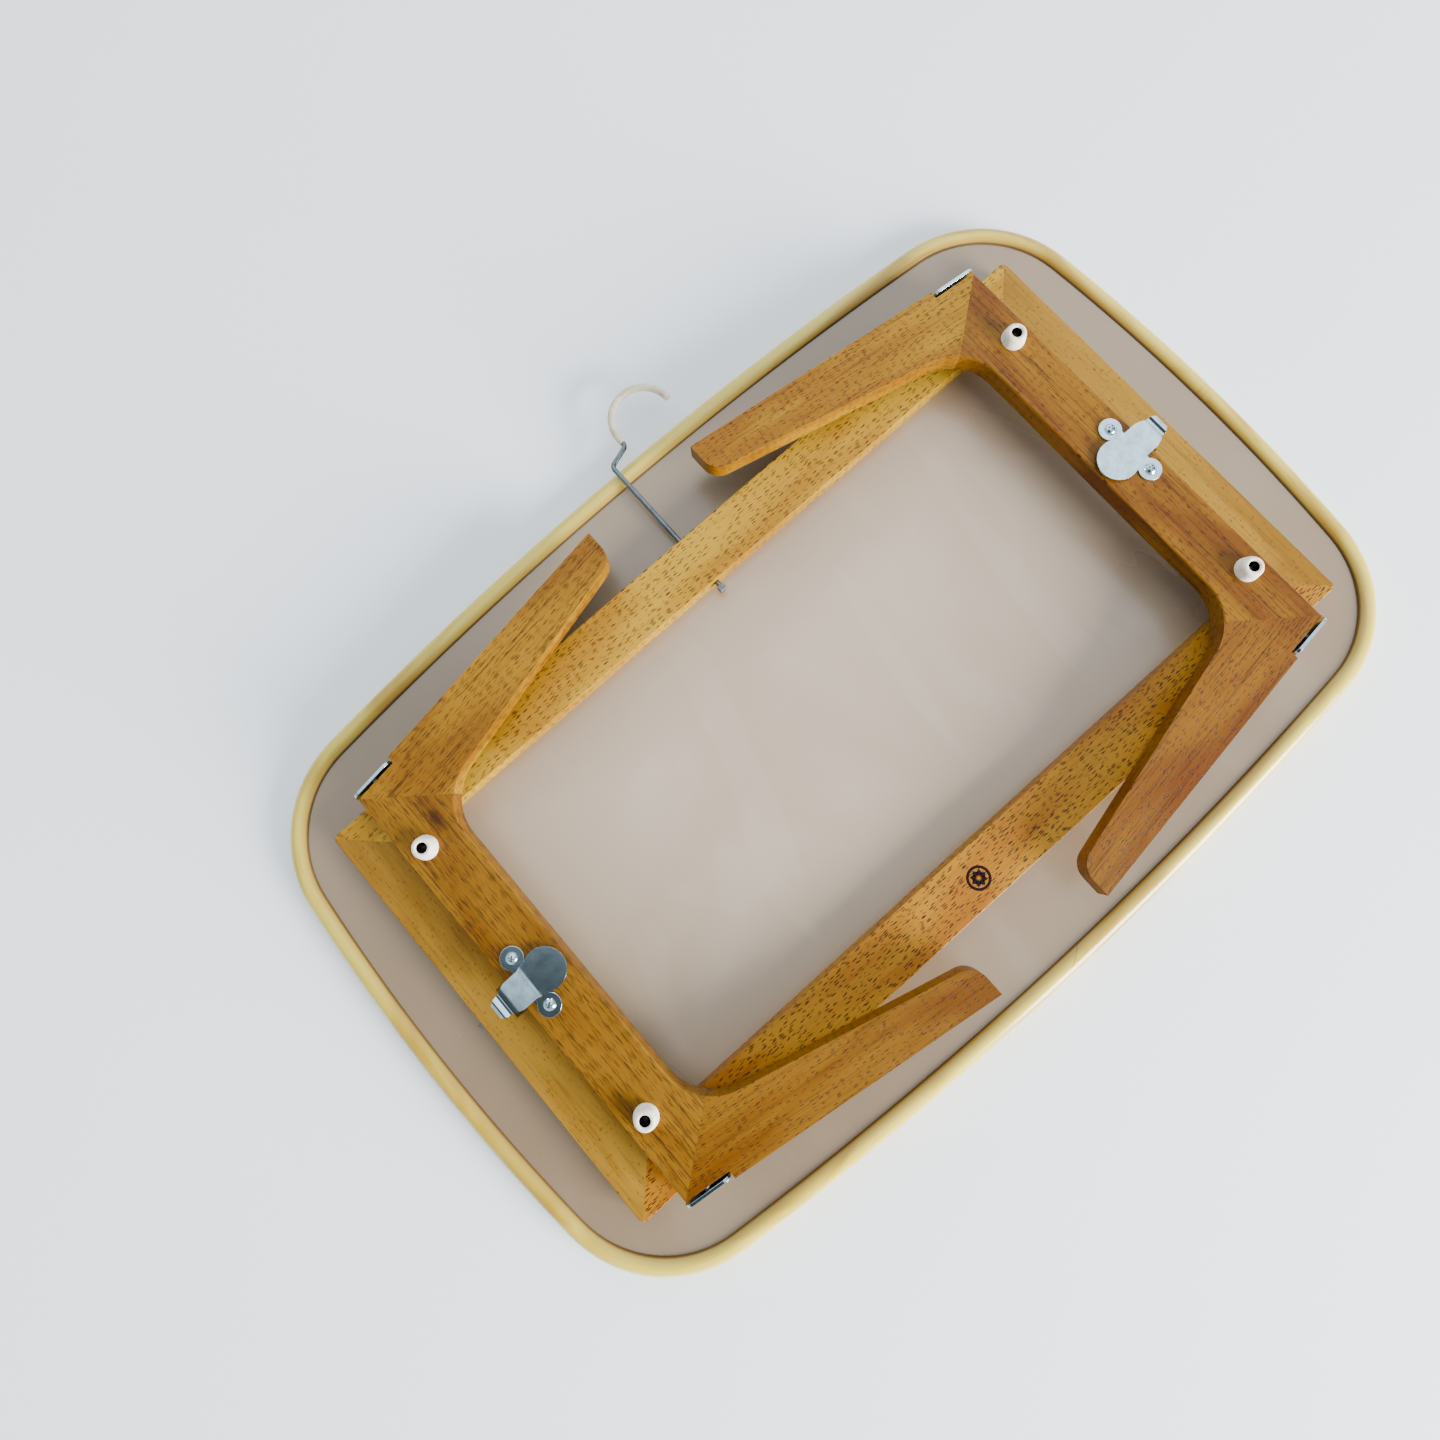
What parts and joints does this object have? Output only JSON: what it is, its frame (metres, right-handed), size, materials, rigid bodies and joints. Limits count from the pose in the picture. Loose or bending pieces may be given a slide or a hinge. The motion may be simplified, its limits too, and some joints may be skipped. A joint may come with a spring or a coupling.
{
  "type": "folding bed tray",
  "caption": "Bed tray lying face down: a flat panel in a round pole rim, a mitred frame, two folding leg frames with turning latches, rubber feet and a sliding wire hook.",
  "frame": {"origin": "centre of the serving surface, which faces -Z because the tray lies face down", "axes": "+X along the tray, +Y to the side that the wire hook draws out of, +Z out of the underside"},
  "size_m": [0.5888, 0.4114, 0.0477],
  "materials": {
    "laminate": "satin warm grey laminate",
    "pale_cane": "gloss varnish",
    "beech": "gloss varnish, golden beech",
    "zinc_plate": "bright zinc plate",
    "zinc_wire": "zinc plated wire",
    "cream_tube": "translucent cream sleeve",
    "ivory_rubber": "ivory rubber, slightly dull",
    "dark_screw": "dark oxidised steel"
  },
  "bodies": {
    "tray": {"tray_panel": "laminate", "rim_pole": "pale_cane", "long_rail_front": "beech", "long_rail_back": "beech", "short_rail_right": "beech", "rail_pin_right": "zinc_wire", "pivot_bracket_right_back": "zinc_plate", "pivot_rivet_right_back": "zinc_plate", "bracket_screw_in_right_back": "zinc_plate", "bracket_screw_out_right_back": "zinc_plate", "pivot_bracket_right_front": "zinc_plate", "pivot_rivet_right_front": "zinc_plate", "bracket_screw_in_right_front": "zinc_plate", "bracket_screw_out_right_front": "zinc_plate", "short_rail_left": "beech", "rail_pin_left": "zinc_wire", "pivot_bracket_left_back": "zinc_plate", "pivot_rivet_left_back": "zinc_plate", "bracket_screw_in_left_back": "zinc_plate", "bracket_screw_out_left_back": "zinc_plate", "pivot_bracket_left_front": "zinc_plate", "pivot_rivet_left_front": "zinc_plate", "bracket_screw_in_left_front": "zinc_plate", "bracket_screw_out_left_front": "zinc_plate"},
    "right_leg_frame": {"crossbar_right": "beech", "latch_base_right": "zinc_plate", "leg_right_back": "beech", "rubber_foot_right_back": "ivory_rubber", "foot_screw_right_back": "dark_screw", "latch_screw_right_back": "zinc_plate", "leg_right_front": "beech", "rubber_foot_right_front": "ivory_rubber", "foot_screw_right_front": "dark_screw", "latch_screw_right_front": "zinc_plate"},
    "right_latch": {"latch_lever_right": "zinc_plate"},
    "left_leg_frame": {"crossbar_left": "beech", "latch_base_left": "zinc_plate", "leg_left_back": "beech", "rubber_foot_left_back": "ivory_rubber", "foot_screw_left_back": "dark_screw", "latch_screw_left_back": "zinc_plate", "leg_left_front": "beech", "rubber_foot_left_front": "ivory_rubber", "foot_screw_left_front": "dark_screw", "latch_screw_left_front": "zinc_plate"},
    "left_latch": {"latch_lever_left": "zinc_plate"},
    "hook_slider": {"hook_stop": "zinc_wire"},
    "hook": {"hook_wire": "zinc_wire", "hook_sleeve": "cream_tube"}
  },
  "joints": [
    {"name": "right_leg_fold", "type": "hinge", "parent": "tray", "child": "right_leg_frame", "pos_m": [0.2088, 0, 0.029], "axis": [0, 1, 0], "range_deg": [0, 90]},
    {"name": "left_leg_fold", "type": "hinge", "parent": "tray", "child": "left_leg_frame", "pos_m": [-0.2088, 0, 0.029], "axis": [0, -1, 0], "range_deg": [0, 90]},
    {"name": "right_latch_turn", "type": "hinge", "parent": "right_leg_frame", "child": "right_latch", "pos_m": [0.2005, 0, 0.0365], "axis": [0, 0, 1], "range_deg": [-13, 13]},
    {"name": "left_latch_turn", "type": "hinge", "parent": "left_leg_frame", "child": "left_latch", "pos_m": [-0.2005, 0, 0.0365], "axis": [0, 0, 1], "range_deg": [-13, 13]},
    {"name": "hook_slide", "type": "slide", "parent": "tray", "child": "hook_slider", "axis": [0, -1, 0], "range_m": [0, 0.056]},
    {"name": "hook_turn", "type": "hinge", "parent": "hook_slider", "child": "hook", "pos_m": [0.0012, 0.0945, 0.01125], "axis": [0, -1, 0], "range_deg": [0, 180]}
  ]
}
